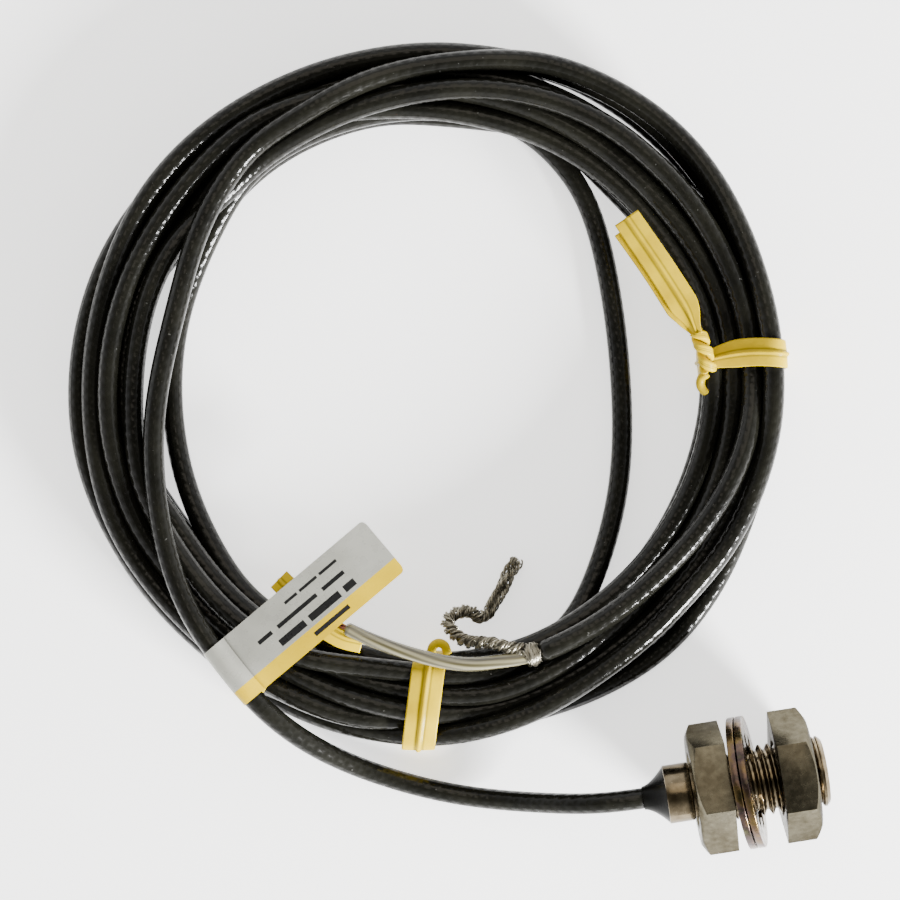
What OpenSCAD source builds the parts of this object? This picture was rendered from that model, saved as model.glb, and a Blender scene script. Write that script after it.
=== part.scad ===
// Cylindrical inductive proximity sensor head with its coiled coaxial cable.
// The origin is the centre of the sensing face, +X is the sensing direction and +Z is up.
// All sizes are in millimetres.

/* [Threaded case] */
// Outside diameter of the case thread
thread_d = 8; // [7.9:0.05:8]
// Pitch of the case thread
thread_pitch = 1; // [1:0.05:1.05]
// Length of the case from the sensing face to its rear rim
case_len = 18.2; // [18.1:0.1:19]
// Length of the plain collar behind the thread
collar_len = 2.9; // [2.6:0.1:3]
// Outside diameter of the plain collar
collar_d = 6.6; // [6.4:0.1:6.8]
// Wall left between the thread's root and the front bore
case_wall = 0.49; // [0.45:0.01:0.55]

/* [Nuts and washers] */
// Width of each nut across its flats
nut_af = 13; // [12.6:0.1:13]
// Thickness of each nut
nut_h = 4; // [3.5:0.1:4]
// Distance from the sensing face to the front nut's flat side
front_nut_x = 5.4; // [5.2:0.1:5.5]
// Distance from the sensing face to the rear nut's flat side
rear_nut_x = 11.05; // [11.05:0.05:11.2]
// Turn of the front nut from flat side up
front_nut_turn = 55; // [0:1:60]
// Turn of the rear nut from flat side up
rear_nut_turn = 44; // [0:1:60]
// Outside diameter of the lock washers
washer_d = 15; // [14.6:0.1:15]
// Thickness of the lock washers
washer_t = 0.8; // [0.7:0.05:0.8]
// Teeth on each lock washer
washer_teeth = 8; // [6:1:10]
// Lean of the loose washers' top edge away from the sensing face
washer_lean = 9; // [6:0.5:9]

/* [Cable] */
// Outside diameter of the cable
cable_d = 2.4; // [2.2:0.1:2.4]
// Mean radius of the coil of cable
coil_r = 36; // [35:0.5:37]
// Width of the coil's bundle of turns
coil_w = 9.6; // [9.2:0.2:9.6]
// Height of the coil's bundle of turns
coil_h = 8; // [7.6:0.1:8]

/* [Wire ties and label] */
// Width of the flat tie strip
tie_w = 3.2; // [2.8:0.1:3.2]
// Thickness of the flat tie strip
tie_t = 0.4; // [0.3:0.05:0.4]
// Width of the cable label
label_w = 7.3; // [6.5:0.1:7.3]
// Length of the label's free flag, from the cable's axis
label_len = 22.6; // [18:0.2:23]

/* [Hidden] */
$fn = 64;

// The surface that the sensor lies on
floor_z = -washer_d / 2;

// Metric thread form: crest and root flats, and the depth of the groove
crest_r = thread_d / 2;
root_r = crest_r - 0.6134 * thread_pitch;
crest_flat = thread_pitch / 8;
root_flat = thread_pitch / 4;
flank = (thread_pitch - crest_flat - root_flat) / 2;
rim_chamfer = 0.6;
groove_count = 14;
bore_r = root_r - case_wall;
rear_bore_r = 2.4;
collar_x = case_len - collar_len;
relief_r = 3.1;
step_x = 14;

// Sensing parts inside the front bore
cap_face_t = 0.5;
cap_skirt_x = 3.3;
core_r = bore_r - 0.4;
core_back_x = 3.1;
window_back_x = 2.5;
post_r = 0.9;
window_r = 2;
bobbin_wall = 0.15;
lead_r = 0.1;
lead_offset = 1.45;

// Cable layers, from the centre out
conductor_r = 0.25;
insulation_r = 0.8;
braid_r = 0.95;
jacket_r = cable_d / 2;
jacket_x = 15.3;
braid_x = 13;
insulation_x = 11;
conductor_x = 9.8;
boot_x = 20.8;
plug_x = 16.2;
clamp_x = 15.4;
clamp_r = jacket_r + 0.4;
boot_tip_r = jacket_r + 0.12;
boot_base_r = 3.15;

// Nuts: a clear bore over the thread crests, countersunk at both faces
nut_bore_r = crest_r + 0.06;
nut_sink_r = crest_r + 0.4;
nut_chamfer_r = 0.48 * nut_af;

// Lock washers: tooth tips just clear of the thread, and both washers lean the same way
tooth_tip_r = crest_r + 0.2;
tooth_root_r = 5.5;
tooth_gap_share = 0.65;
washer_swing = 2.3;
washer_gap = 0.16;
washer_drop = 0.03;
rear_washer_x = 9.4;
front_washer_x = rear_washer_x - washer_t - washer_gap;

// The coil lies flat beside the head, and the ties hold its bundle
coil_centre = [-38, 50];
bundle_corner = 3;
tie_lift = 0.65;
rib_r = 0.45;
wire_r = 0.22;
tie_angles = [356, 261, 231];
tie_path_h = coil_h - tie_lift;
tie_path_z = floor_z + tie_lift + tie_path_h / 2;

// Route of the lead from the strain relief, over the coil and down into it
lead_route = [
  [-20.8, 0, 0], [-24, 0, 0], [-27.5, 0.2, -1], [-31.5, 0.7, -2.9], [-36, 1.4, -4.8],
  [-41, 2.6, -5.8], [-46.1, 4.5, -5.9], [-50.8, 6.9, -5], [-54.8, 9.5, -3.2], [-58.4, 12.7, -0.8],
  [-61.2, 16, 1], [-63.2, 19, 1.9], [-64.9, 22.3, 2.2], [-67, 25.9, 2], [-68.7, 30.3, 1.8],
  [-69.6, 35, 1.7], [-69.9, 40, 1.7], [-69.7, 45.2, 1.7], [-69, 50, 1.7], [-67.7, 54.7, 1.6],
  [-65.8, 59.6, 1.4], [-63.8, 64.3, 1.2], [-61.8, 69, 1.1], [-59.2, 73.4, 1], [-55.7, 77.6, 0.7],
  [-51.5, 81.2, 0.2]
];
// Route of the slack turn that stands away from the coil on its inside
loop_route = [
  [-24.5, 79.2, -4], [-21, 76.6, -5], [-17.2, 71.2, -6], [-15.7, 66.2, -6.3], [-15.2, 60, -6.3],
  [-15.2, 53, -6.3], [-15.6, 47.3, -6.3], [-16.3, 41.5, -6.3], [-17.7, 35.2, -6.3],
  [-20.3, 28.7, -6], [-23.7, 22.8, -5], [-26.8, 19.2, -4]
];
// Route of the last stretch, which lies on top of the coil
tail_route = [
  [-0.9, 46.5, -1.5], [-1.4, 42.5, -0.2], [-2.8, 38.5, 1.2], [-4.9, 34.7, 1.75], [-7.8, 31, 1.75],
  [-11.3, 27.7, 1.75], [-15, 24.9, 1.75], [-19, 22.3, 1.75], [-23, 20.3, 1.75],
  [-26.5, 19, 1.75], [-29.8, 18.2, 1.75]
];
// Route of the stripped core insulation and of the conductor in it
core_route = [
  [-29.8, 18.2, 1.75], [-32, 18, 1.8], [-34.3, 18, 1.9], [-37.7, 18.2, 2.1], [-41, 19.1, 2.2],
  [-44.7, 20.7, 2.1], [-48.2, 22.6, 2], [-51, 24.4, 1.9]
];
conductor_tip = [-51.7, 25, 1.85];
// Route of the braid, twisted to a pigtail, from the collar down to the surface
braid_route = [
  [-31.6, 18.9, 2], [-33.3, 19.4, 1.8], [-35, 20.1, 1.2], [-36.8, 20.4, 0.4], [-38.4, 21, -0.8],
  [-39.5, 22.3, -2.2], [-39.6, 23.2, -3.2], [-38.4, 23.8, -4], [-37, 23.7, -4.6],
  [-35.9, 22.8, -5.2], [-34.9, 23.2, -5.7], [-33.6, 24.8, -6.2], [-32.2, 26.7, -6.7],
  [-30.7, 28.6, -6.8]
];
pigtail_r = 0.7;
collar_from = [-29.9, 18.2, 1.75];
collar_to = [-31.5, 18.05, 1.8];
knot_r = 1.45;

// The label folds round the lead, and its flag lies over the coil
label_at = [-64.4, 21.2, 2.1];
label_angle = 31.2;
label_t = 0.2;

// Ends of the twisted pairs and tails of the three ties
right_twist = [[-6.65, 47.8, 0.3], [-5.5, 53.2, 1.5]];
right_tails = [[-12.5, 65.5, 1.9], [-10.9, 66.7, 1.4]];
left_twist = [[-57.75, 25.6, 0.3], [-55.9, 27, 0.9]];
left_tails = [[-57.2, 31.2, 1.3], [-49.6, 22.2, 0.9]];
twist_r = 0.9;
bottom_twist_x = -5.95;
bottom_twist_z = [-5.2, 0.6];
bottom_tail_len = 7;

// Lays a shape that is drawn along +Z along +X
module along_x() {
  rotate([0, 90, 0]) children();
}

// A solid of revolution about the X axis, from points of [radius, x]
module turned(points) {
  along_x() rotate_extrude() polygon(points);
}

// A round rod from a to b
module rod(a, b, r) {
  d = b - a;
  translate(a) rotate([0, acos(d.z / norm(d)), atan2(d.y, d.x)]) cylinder(h = norm(d), r = r);
}

// A flat strip from a to b, with its width level
module strip(a, b, w, t) {
  d = b - a;
  translate(a) rotate([0, -asin(d.z / norm(d)), atan2(d.y, d.x)])
    translate([0, -w / 2, -t / 2]) cube([norm(d), w, t]);
}

function unit(v) = v / norm(v);
function heading(route, i) =
  unit(route[min(i + 1, len(route) - 1)] - route[max(i - 1, 0)]);
function ring(route, i, r, sides) =
  let (t = heading(route, i), side = unit(cross(t, [0, 0, 1])), up = cross(side, t))
  [for (k = [0 : sides - 1]) route[i] + r * (cos(360 * k / sides) * side + sin(360 * k / sides) * up)];

// A tube swept along a route, one ring of points at each point of the route
module tube(route, r, sides = 8) {
  last = len(route) - 1;
  points = [for (i = [0 : last]) each ring(route, i, r, sides)];
  start = [[for (k = [sides - 1 : -1 : 0]) k]];
  end = [[for (k = [0 : sides - 1]) last * sides + k]];
  walls = [
    for (i = [0 : last - 1]) for (k = [0 : sides - 1])
      let (a = i * sides + k, b = i * sides + (k + 1) % sides)
      each [[a, b + sides, a + sides], [a, b, b + sides]]
  ];
  polyhedron(points, concat(start, end, walls), convexity = 4);
}

// ---- Case ----

function thread_profile() = [
  for (i = [0 : groove_count - 1])
    let (x = -rim_chamfer - i * thread_pitch)
    each [
      [crest_r, x], [crest_r, x - crest_flat],
      [root_r, x - crest_flat - flank], [root_r, x - crest_flat - flank - root_flat]
    ]
];

module threaded_case() {
  end_x = -rim_chamfer - groove_count * thread_pitch;
  color("#8c8468")
    turned(concat(
      [[bore_r, 0], [crest_r - rim_chamfer, 0]],
      thread_profile(),
      [
        [crest_r, end_x], [crest_r, end_x - crest_flat],
        [relief_r, end_x - 0.45], [relief_r, -collar_x + 0.15],
        [collar_d / 2 - 0.1, -collar_x], [collar_d / 2, -collar_x - 0.1],
        [collar_d / 2, -case_len + 0.1], [collar_d / 2 - 0.1, -case_len],
        [rear_bore_r, -case_len], [rear_bore_r, -step_x], [bore_r, -step_x]
      ]
    ));
}

module sensing_cap() {
  color("#dcd8c8")
    turned([
      [0, 0], [bore_r, 0], [bore_r, -cap_skirt_x], [core_r + 0.05, -cap_skirt_x],
      [core_r + 0.05, -cap_face_t], [0, -cap_face_t]
    ]);
}

// Places a small shape on each side of the axis, where the two coil leads run
module at_leads() {
  for (side = [-1, 1]) translate([0, side * lead_offset, 0]) children();
}

module ferrite_core() {
  color("#2b2b2e")
    difference() {
      turned([
        [0, -cap_face_t], [post_r, -cap_face_t], [post_r, -window_back_x], [window_r, -window_back_x],
        [window_r, -cap_face_t], [core_r, -cap_face_t], [core_r, -core_back_x], [0, -core_back_x]
      ]);
      at_leads() translate([-core_back_x - 1, 0, 0]) along_x() cylinder(h = 2, r = 3 * lead_r);
    }
}

module coil_bobbin() {
  hub = post_r + 0.05;
  rim = window_r - 0.05;
  front = cap_face_t + 0.05;
  back = window_back_x - 0.05;
  color("#e8e4d4")
    difference() {
      turned([
        [hub, -front], [rim, -front], [rim, -front - bobbin_wall],
        [hub + bobbin_wall, -front - bobbin_wall], [hub + bobbin_wall, -back + bobbin_wall],
        [rim, -back + bobbin_wall], [rim, -back], [hub, -back]
      ]);
      at_leads() translate([-back - 0.5, 0, 0]) along_x() cylinder(h = 1, r = 1.5 * lead_r);
    }
}

winding_front = cap_face_t + 0.05 + bobbin_wall;
winding_back = window_back_x - 0.05 - bobbin_wall;

module coil_winding() {
  color("#b5651d")
    turned([
      [post_r + 0.05 + bobbin_wall, -winding_front], [window_r - 0.12, -winding_front],
      [window_r - 0.12, -winding_back], [post_r + 0.05 + bobbin_wall, -winding_back]
    ]);
}

// Where each lead is soldered: to the cable's conductor and to its braid
conductor_joint = [-conductor_x - 0.3, conductor_r + 0.15, 0];
braid_joint = [-braid_x - 0.4, -braid_r - 0.15, 0];
solder_r = 0.35;

// The leads run from the winding through the core's two holes, each to its joint
module coil_leads() {
  color("#b5651d") {
    rod([-winding_back, lead_offset, 0], conductor_joint, lead_r);
    rod([-winding_back, -lead_offset, 0], braid_joint, lead_r);
  }
}

module solder_joints() {
  color("#b8b8b4")
    difference() {
      union() {
        translate(conductor_joint) sphere(solder_r);
        translate(braid_joint) sphere(solder_r);
      }
      coil_leads();
      inlet_conductor();
      translate([-braid_x - 2, 0, 0]) along_x() cylinder(h = 2.01, r = braid_r);
    }
}

// The resin fills the case round the core, the leads and the stepped end of the cable
module potting_resin() {
  color("#1c1c1c")
    turned([
      [0, -core_back_x], [core_r + 0.05, -core_back_x], [core_r + 0.05, -cap_skirt_x],
      [bore_r, -cap_skirt_x], [bore_r, -step_x], [rear_bore_r, -step_x], [rear_bore_r, -plug_x],
      [clamp_r, -plug_x], [clamp_r, -clamp_x], [jacket_r, -clamp_x],
      [jacket_r, -jacket_x], [braid_r, -jacket_x], [braid_r, -braid_x], [insulation_r, -braid_x],
      [insulation_r, -insulation_x], [conductor_r, -insulation_x], [conductor_r, -conductor_x],
      [0, -conductor_x]
    ]);
}

// A layer of the cable's end inside the head, from x back to the strain relief's tip
module inlet_layer(x, inner, outer) {
  turned([[inner, -x], [outer, -x], [outer, -boot_x], [inner, -boot_x]]);
}

module inlet_conductor() {
  color("#7a2f22") inlet_layer(conductor_x, 0, conductor_r);
}

module inlet_insulation() {
  color("#cfcab4") inlet_layer(insulation_x, conductor_r, insulation_r);
}

module inlet_braid() {
  color("#8f8a7a") inlet_layer(braid_x, insulation_r, braid_r);
}

module inlet_jacket() {
  color("#141414") inlet_layer(jacket_x, braid_r, jacket_r);
}

module cable_clamp_ring() {
  color("#a8a49a")
    turned([
      [jacket_r, -clamp_x], [clamp_r, -clamp_x], [clamp_r, -plug_x], [jacket_r, -plug_x]
    ]);
}

// Radius of the boot's flared outside at x behind the case, from 0 to its full length
function boot_r(t) = boot_tip_r + (boot_base_r - boot_tip_r) * pow(1 - t, 1.6);

module strain_relief() {
  steps = 8;
  color("#101010")
    turned(concat(
      [[jacket_r, -plug_x], [rear_bore_r, -plug_x], [rear_bore_r, -case_len]],
      [for (i = [0 : steps]) [boot_r(i / steps), -case_len - i / steps * (boot_x - case_len)]],
      [[jacket_r, -boot_x]]
    ));
}

// ---- Nuts and washers ----

// A hexagon nut from its flat side at x = 0 to its chamfered side at x = nut_h
module hex_nut(turn) {
  chamfer_h = (nut_af / 2 / cos(30) + 0.1 - nut_chamfer_r) * tan(30);
  sink_h = nut_sink_r - nut_bore_r;
  difference() {
    intersection() {
      along_x() rotate([0, 0, 30 + turn]) cylinder(h = nut_h, r = nut_af / 2 / cos(30), $fn = 6);
      turned([
        [0, 0], [nut_af / 2 / cos(30) + 0.1, 0],
        [nut_af / 2 / cos(30) + 0.1, nut_h - chamfer_h], [nut_chamfer_r, nut_h], [0, nut_h]
      ]);
    }
    turned([
      [0, -1], [nut_sink_r, -1], [nut_sink_r, 0], [nut_bore_r, sink_h],
      [nut_bore_r, nut_h - sink_h], [nut_sink_r, nut_h], [nut_sink_r, nut_h + 1], [0, nut_h + 1]
    ]);
  }
}

module front_nut() {
  color("#77756a") translate([-front_nut_x, 0, 0]) hex_nut(front_nut_turn);
}

module rear_nut() {
  color("#7d7866") translate([-rear_nut_x, 0, 0]) mirror([1, 0, 0]) hex_nut(rear_nut_turn);
}

// An internal-tooth lock washer, leaning as it lies on the thread
module lock_washer(x, turn) {
  gap_w = PI * tooth_root_r / washer_teeth * tooth_gap_share;
  translate([-x, 0, -washer_drop]) rotate([0, 0, washer_swing]) rotate([0, -washer_lean, 0])
    along_x() rotate([0, 0, turn])
      difference() {
        cylinder(h = washer_t, r = washer_d / 2, center = true);
        cylinder(h = washer_t + 1, r = tooth_tip_r, center = true);
        for (i = [0 : washer_teeth - 1])
          rotate([0, 0, i * 360 / washer_teeth])
            translate([tooth_tip_r - 1, -gap_w / 2, -washer_t])
              cube([tooth_root_r - tooth_tip_r + 1, gap_w, 2 * washer_t]);
      }
}

module front_lock_washer() {
  color("#8a7a3c") lock_washer(front_washer_x, 10);
}

module rear_lock_washer() {
  color("#8a6a4c") lock_washer(rear_washer_x, 31);
}

// ---- Cable ----

// A rectangle with round corners, centred
module round_rect(w, h, r) {
  square([w, h - 2 * r], center = true);
  square([w - 2 * r, h], center = true);
  for (x = [-1, 1], y = [-1, 1]) translate([x * (w / 2 - r), y * (h / 2 - r)]) circle(r);
}

// Places a shape in the coil's bundle at an angle: X points out from the coil, Y along it
module on_coil(angle) {
  translate([coil_centre.x, coil_centre.y, 0]) rotate([0, 0, angle]) translate([coil_r, 0, 0])
    children();
}

// The outline that a tie follows round the bundle, grown by an offset
module tie_outline(grow) {
  round_rect(coil_w + 2 * grow, tie_path_h + 2 * grow, bundle_corner + grow);
}

// Extrudes a bundle cross-section along the coil's direction, at the tie's height
module across_bundle(w) {
  translate([0, w / 2, tie_path_z]) rotate([90, 0, 0]) linear_extrude(w) children();
}

// The coil's turns as one ring: the ties are drawn into it, as they squeeze the real turns
module cable_coil() {
  color("#121212")
    translate([coil_centre.x, coil_centre.y, floor_z + coil_h / 2])
      rotate_extrude() translate([coil_r, 0]) round_rect(coil_w, coil_h, bundle_corner);
}

module cable_lead() {
  color("#161616") tube(lead_route, jacket_r);
}

module cable_loop() {
  color("#161616") tube(loop_route, jacket_r);
}

module cable_tail() {
  color("#161616") tube(tail_route, jacket_r);
}

module core_insulation() {
  color("#b9b39a") tube(core_route, insulation_r);
}

module centre_conductor() {
  color("#5a2018") tube(concat(core_route, [conductor_tip]), conductor_r, 6);
}

module braid_pigtail() {
  color("#8f8a7a") tube(braid_route, pigtail_r);
}

module braid_collar() {
  color("#98927f")
    difference() {
      rod(collar_from, collar_to, knot_r);
      rod(collar_from - (collar_to - collar_from), 2 * collar_to - collar_from, insulation_r);
    }
}

module cable_label() {
  fold_r = jacket_r + label_t;
  color("#b4b4a8")
    translate(label_at) rotate([0, 0, label_angle])
      difference() {
        union() {
          rotate([90, 0, 0]) cylinder(h = label_w, r = fold_r, center = true);
          translate([0, -label_w / 2, fold_r - label_t]) cube([label_len, label_w, label_t]);
        }
        rotate([90, 0, 0]) cylinder(h = label_w + 1, r = jacket_r, center = true);
      }
}

// ---- Wire ties ----

// A round rod that follows the tie's outline round the bundle
module outline_rod(grow, r) {
  cx = coil_w / 2 - bundle_corner;
  cz = tie_path_h / 2 - bundle_corner;
  translate([0, 0, tie_path_z]) rotate([90, 0, 0]) {
    for (a = [0 : 3])
      translate([cx * (a == 0 || a == 3 ? 1 : -1), cz * (a < 2 ? 1 : -1), 0])
        rotate([0, 0, 90 * a]) rotate_extrude(angle = 90)
          translate([bundle_corner + grow, 0]) circle(r);
    for (s = [-1, 1]) {
      translate([-cx, s * (tie_path_h / 2 + grow), 0]) rotate([0, 90, 0]) cylinder(h = 2 * cx, r = r);
      translate([s * (coil_w / 2 + grow), cz, 0]) rotate([90, 0, 0]) cylinder(h = 2 * cz, r = r);
    }
  }
}

// The flat strip round the bundle, with the raised rib over its wire
module tie_band(angle) {
  on_coil(angle) {
    across_bundle(tie_w) difference() {
      tie_outline(tie_t);
      tie_outline(0);
    }
    outline_rod(tie_t / 2, rib_r);
  }
}

module tie_band_wire(angle) {
  on_coil(angle) outline_rod(tie_t / 2, wire_r);
}

module tie_yellow() {
  color("#e0b418") children();
}

module tie_right() {
  tie_yellow() {
    tie_band(tie_angles[0]);
    rod(right_twist[0], right_twist[1], twist_r);
    for (end = right_tails) strip(right_twist[1], end, tie_w, tie_t);
  }
}

module tie_left() {
  tie_yellow() {
    tie_band(tie_angles[2]);
    rod(left_twist[0], left_twist[1], twist_r);
    for (end = left_tails) strip(left_twist[1], end, tie_w, tie_t);
  }
}

module tie_bottom() {
  tie_yellow() {
    tie_band(tie_angles[1]);
    on_coil(tie_angles[1]) {
      rod([bottom_twist_x, 0, bottom_twist_z[0]], [bottom_twist_x, 0, bottom_twist_z[1]], twist_r);
      translate([bottom_twist_x - tie_t / 2, 0, bottom_twist_z[0]])
        cube([tie_t, bottom_tail_len, tie_w]);
    }
  }
}

module tie_wire_metal() {
  color("#a0a0a0") children();
}

// The wire's two ends, side by side in the twist and then apart in the tails
module wire_ends(twist, tails) {
  for (i = [0, 1]) {
    offset = [0, 0, (0.5 - i) * 3 * wire_r];
    tube([twist[0] + offset, twist[1] + offset, tails[i] + offset], wire_r, 6);
  }
}

module tie_right_wire() {
  tie_wire_metal() {
    tie_band_wire(tie_angles[0]);
    wire_ends(right_twist, right_tails);
  }
}

module tie_left_wire() {
  tie_wire_metal() {
    tie_band_wire(tie_angles[2]);
    wire_ends(left_twist, left_tails);
  }
}

module tie_bottom_wire() {
  tie_wire_metal() {
    tie_band_wire(tie_angles[1]);
    on_coil(tie_angles[1])
      rod([bottom_twist_x, 0, bottom_twist_z[0]], [bottom_twist_x, 0, bottom_twist_z[1]], wire_r);
  }
}

threaded_case();
sensing_cap();
ferrite_core();
coil_bobbin();
coil_winding();
coil_leads();
solder_joints();
potting_resin();
cable_clamp_ring();
inlet_conductor();
inlet_insulation();
inlet_braid();
inlet_jacket();
strain_relief();
front_nut();
rear_nut();
front_lock_washer();
rear_lock_washer();
cable_lead();
cable_coil();
cable_loop();
cable_tail();
core_insulation();
centre_conductor();
braid_collar();
braid_pigtail();
cable_label();
tie_right();
tie_bottom();
tie_left();
tie_right_wire();
tie_bottom_wire();
tie_left_wire();
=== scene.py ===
"""The looks of a cylindrical proximity sensor head and its coiled cable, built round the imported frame.

Lengths are in metres, in the frame's axes: the origin is the centre of the sensing face, +X is the
sensing direction and +Z is up from the surface that the sensor lies on.
"""
import math

import bpy
import numpy as np
from mathutils import Matrix, Vector


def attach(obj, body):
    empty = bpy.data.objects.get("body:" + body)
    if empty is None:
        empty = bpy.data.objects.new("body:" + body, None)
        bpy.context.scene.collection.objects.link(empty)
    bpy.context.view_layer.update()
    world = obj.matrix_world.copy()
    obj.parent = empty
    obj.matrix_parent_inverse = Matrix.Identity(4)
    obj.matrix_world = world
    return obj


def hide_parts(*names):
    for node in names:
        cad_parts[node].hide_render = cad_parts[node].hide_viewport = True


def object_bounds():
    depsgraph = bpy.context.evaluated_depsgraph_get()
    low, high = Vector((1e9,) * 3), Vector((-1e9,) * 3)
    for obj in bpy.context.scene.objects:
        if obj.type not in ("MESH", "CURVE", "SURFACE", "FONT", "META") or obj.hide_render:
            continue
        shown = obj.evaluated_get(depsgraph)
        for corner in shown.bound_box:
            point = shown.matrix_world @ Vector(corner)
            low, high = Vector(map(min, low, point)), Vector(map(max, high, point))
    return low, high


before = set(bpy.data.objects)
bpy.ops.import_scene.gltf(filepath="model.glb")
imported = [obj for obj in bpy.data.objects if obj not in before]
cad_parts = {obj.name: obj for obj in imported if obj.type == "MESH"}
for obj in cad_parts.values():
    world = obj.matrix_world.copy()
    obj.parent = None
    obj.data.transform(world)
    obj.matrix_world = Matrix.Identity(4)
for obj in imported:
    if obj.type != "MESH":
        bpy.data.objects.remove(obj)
cad_low, cad_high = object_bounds()
MM = 0.001
TAU = 2 * math.pi
FLOOR = cad_low.z


def mm(points):
    """Points given in millimetres, as an array in metres."""
    return np.array(points, float) * MM


# ---- The camera ----

def make_camera():
    """Looks almost straight down at the coil, turned a little, as the object was seen."""
    roll = math.radians(9)
    place = Vector((-0.0291, 0.0427, 0.3))
    target = Vector((-0.0364, 0.0424, FLOOR))
    back = (place - target).normalized()
    up = Vector((math.sin(roll), math.cos(roll), 0))
    right = up.cross(back).normalized()
    up = back.cross(right)
    data = bpy.data.cameras.new("camera")
    data.lens = 105.8
    data.clip_start = 0.01
    camera = bpy.data.objects.new("camera", data)
    camera.matrix_world = Matrix.Translation(place) @ Matrix((right, up, back)).transposed().to_4x4()
    bpy.context.scene.collection.objects.link(camera)
    bpy.context.scene.camera = camera


# ---- The cable's route ----

CABLE_D = 2.4 * MM
COIL_CENTRE = mm([-38, 50])

# Routes where the cable isn't in the coil, the same as the CAD's
LEAD_ROUTE = mm([
    (-20.8, 0, 0), (-24, 0, 0), (-27.5, 0.2, -1), (-31.5, 0.7, -2.9), (-36, 1.4, -4.8),
    (-41, 2.6, -5.8), (-46.1, 4.5, -5.9), (-50.8, 6.9, -5), (-54.8, 9.5, -3.2), (-58.4, 12.7, -0.8),
    (-61.2, 16, 1), (-63.2, 19, 1.9), (-64.9, 22.3, 2.2), (-67, 25.9, 2), (-68.7, 30.3, 1.8),
    (-69.6, 35, 1.7), (-69.9, 40, 1.7), (-69.7, 45.2, 1.7), (-69, 50, 1.7), (-67.7, 54.7, 1.6),
    (-65.8, 59.6, 1.4), (-63.8, 64.3, 1.2), (-61.8, 69, 1.1), (-59.2, 73.4, 1), (-55.7, 77.6, 0.7),
    (-51.5, 81.2, 0.2)])
LOOP_ROUTE = mm([
    (-24.5, 79.2, -4), (-21, 76.6, -5), (-17.2, 71.2, -6), (-15.7, 66.2, -6.3), (-15.2, 60, -6.3),
    (-15.2, 53, -6.3), (-15.6, 47.3, -6.3), (-16.3, 41.5, -6.3), (-17.7, 35.2, -6.3),
    (-20.3, 28.7, -6), (-23.7, 22.8, -5), (-26.8, 19.2, -4)])
TAIL_ROUTE = mm([
    (-0.9, 46.5, -1.5), (-1.4, 42.5, -0.2), (-2.8, 38.5, 1.2), (-4.9, 34.7, 1.75), (-7.8, 31, 1.75),
    (-11.3, 27.7, 1.75), (-15, 24.9, 1.75), (-19, 22.3, 1.75), (-23, 20.3, 1.75),
    (-26.5, 19, 1.75), (-29.8, 18.2, 1.75)])
CORE_ROUTE = mm([
    (-29.8, 18.2, 1.75), (-32, 18, 1.8), (-34.3, 18, 1.9), (-37.7, 18.2, 2.1), (-41, 19.1, 2.2),
    (-44.7, 20.7, 2.1), (-48.2, 22.6, 2), (-51, 24.4, 1.9)])
BRAID_ROUTE = mm([
    (-31.6, 18.9, 2), (-33.3, 19.4, 1.8), (-35, 20.1, 1.2), (-36.8, 20.4, 0.4), (-38.4, 21, -0.8),
    (-39.5, 22.3, -2.2), (-39.6, 23.2, -3.2), (-38.4, 23.8, -4), (-37, 23.7, -4.6),
    (-35.9, 22.8, -5.2), (-34.9, 23.2, -5.7), (-33.6, 24.8, -6.2), (-32.2, 26.7, -6.7),
    (-30.7, 28.6, -6.8)])

# The coil is wound clockwise: progress is counted in degrees from the start angle, down the angles
START = 250.0
STEP = 2.5
TURNS = 12
LEAD_ON_COIL = 7
LOOP_TURN = 11
TAIL_END = 284.5
TIE_ANGLES = {"tie_right": 356, "tie_bottom": 261, "tie_left": 231}
TIE_LIFT = 0.65 * MM
# A tie holds the turns within this many degrees of it, apart from the slack turn inside this
# radius and from the coil's first degrees, where the lead passes over the left tie
TIE_REACH = 2.6
SLACK_RADIUS = 31.6 * MM
LEAD_FREE = 40

# How far out the coil's outer edge reaches, as (angle, radius in mm)
OUTER_EDGE = [(0, 40.6), (11, 40.6), (36, 41.7), (70, 39.6), (90, 39), (109, 39), (131, 39.6),
              (150, 40.5), (171, 41.1), (182, 41.2), (216, 40.3), (235, 40.1), (272, 39.9),
              (304, 41.9), (330, 40.8), (351, 40.6), (360, 40.6)]

# The lanes of the hidden turns, 1 to 10, as (radius, height) in mm: four layers from the floor up
LANES = [(40, -6.3), (36.2, -6.3), (34.2, -6.3), (32.6, -6.3), (34, -4.2), (36.4, -4.2),
         (38.8, -4.2), (37.6, -2.1), (35.2, -2.1), (32.9, -2.4)]
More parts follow.
